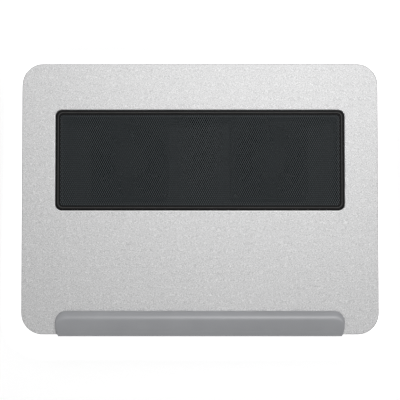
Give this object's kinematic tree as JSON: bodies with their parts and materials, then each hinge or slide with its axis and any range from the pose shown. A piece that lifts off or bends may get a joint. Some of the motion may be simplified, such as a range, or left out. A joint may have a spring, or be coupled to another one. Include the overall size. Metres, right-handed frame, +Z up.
{
  "type": "laptop cooling pad",
  "caption": "Laptop cooling pad: a gently leaning aluminium plate with a mesh air window, a rubber front stop, and two fans in a shallow plastic base.",
  "frame": {"origin": "centre of the bounding box at its base, on the surface the feet stand on", "axes": "+X to the right of someone who faces the pad, +Y to the rear (the raised edge), +Z up"},
  "size_m": [0.366, 0.2789, 0.0391],
  "materials": {
    "plate_aluminium": "bead-blasted, clear anodised",
    "bezel_plastic": "satin black",
    "grille_paint": "slate black powder coat",
    "body_plastic": "fine-textured black",
    "stopper_rubber": "soft-touch satin grey",
    "foot_rubber": "matt",
    "fan_plastic": "satin black",
    "screw_steel": "zinc plated",
    "bearing_brass": "sintered, oiled",
    "magnet": "bonded ferrite",
    "stator_steel": "laminated steel",
    "board": "green solder mask",
    "port_steel": "nickel plated",
    "switch_plastic": "satin",
    "capacitor_sleeve": "shrink sleeve",
    "plug_plastic": "natural nylon",
    "lead_sheath": "PVC"
  },
  "bodies": {
    "base": {"base_tray": "body_plastic", "board_screw_left": "screw_steel", "board_screw_right": "screw_steel", "capacitor": "capacitor_sleeve", "fan_bearing_left": "bearing_brass", "fan_bearing_right": "bearing_brass", "fan_circuit_left": "board", "fan_circuit_right": "board", "fan_frame_left": "fan_plastic", "fan_frame_right": "fan_plastic", "fan_lead_left": "lead_sheath", "fan_lead_right": "lead_sheath", "fan_plug_left": "plug_plastic", "fan_plug_right": "plug_plastic", "fan_screw_left_front": "screw_steel", "fan_screw_left_rear": "screw_steel", "fan_screw_right_front": "screw_steel", "fan_screw_right_rear": "screw_steel", "fan_stator_left": "stator_steel", "fan_stator_right": "stator_steel", "foot_front_left": "foot_rubber", "foot_front_right": "foot_rubber", "foot_rear_left": "foot_rubber", "foot_rear_right": "foot_rubber", "front_stopper": "stopper_rubber", "grille_bezel": "bezel_plastic", "intake_guard_left": "body_plastic", "intake_guard_right": "body_plastic", "mesh_grille": "grille_paint", "power_inlet": "port_steel", "stopper_screw_left": "screw_steel", "stopper_screw_middle": "screw_steel", "stopper_screw_right": "screw_steel", "switch_body": "switch_plastic", "top_plate": "plate_aluminium", "tray_screw_front_left": "screw_steel", "tray_screw_front_middle": "screw_steel", "tray_screw_front_right": "screw_steel", "tray_screw_rear_left": "screw_steel", "tray_screw_rear_middle": "screw_steel", "tray_screw_rear_right": "screw_steel", "upper_frame": "body_plastic", "usb_board": "board", "usb_port": "port_steel"},
    "rotor_left": {"fan_impeller_left": "fan_plastic", "fan_shaft_left": "screw_steel", "fan_magnet_left": "magnet"},
    "rotor_right": {"fan_impeller_right": "fan_plastic", "fan_shaft_right": "screw_steel", "fan_magnet_right": "magnet"},
    "switch_knob": {"switch_slider": "switch_plastic"}
  },
  "joints": [
    {"name": "fan_left_spin", "type": "hinge", "parent": "base", "child": "rotor_left", "pos_m": [-0.072, 0.042, 0.013], "axis": [0, 0, 1], "continuous": true},
    {"name": "fan_right_spin", "type": "hinge", "parent": "base", "child": "rotor_right", "pos_m": [0.072, 0.042, 0.013], "axis": [0, 0, 1], "continuous": true},
    {"name": "switch_slide", "type": "slide", "parent": "base", "child": "switch_knob", "axis": [1, 0, 0], "range_m": [0, 0.004]}
  ]
}
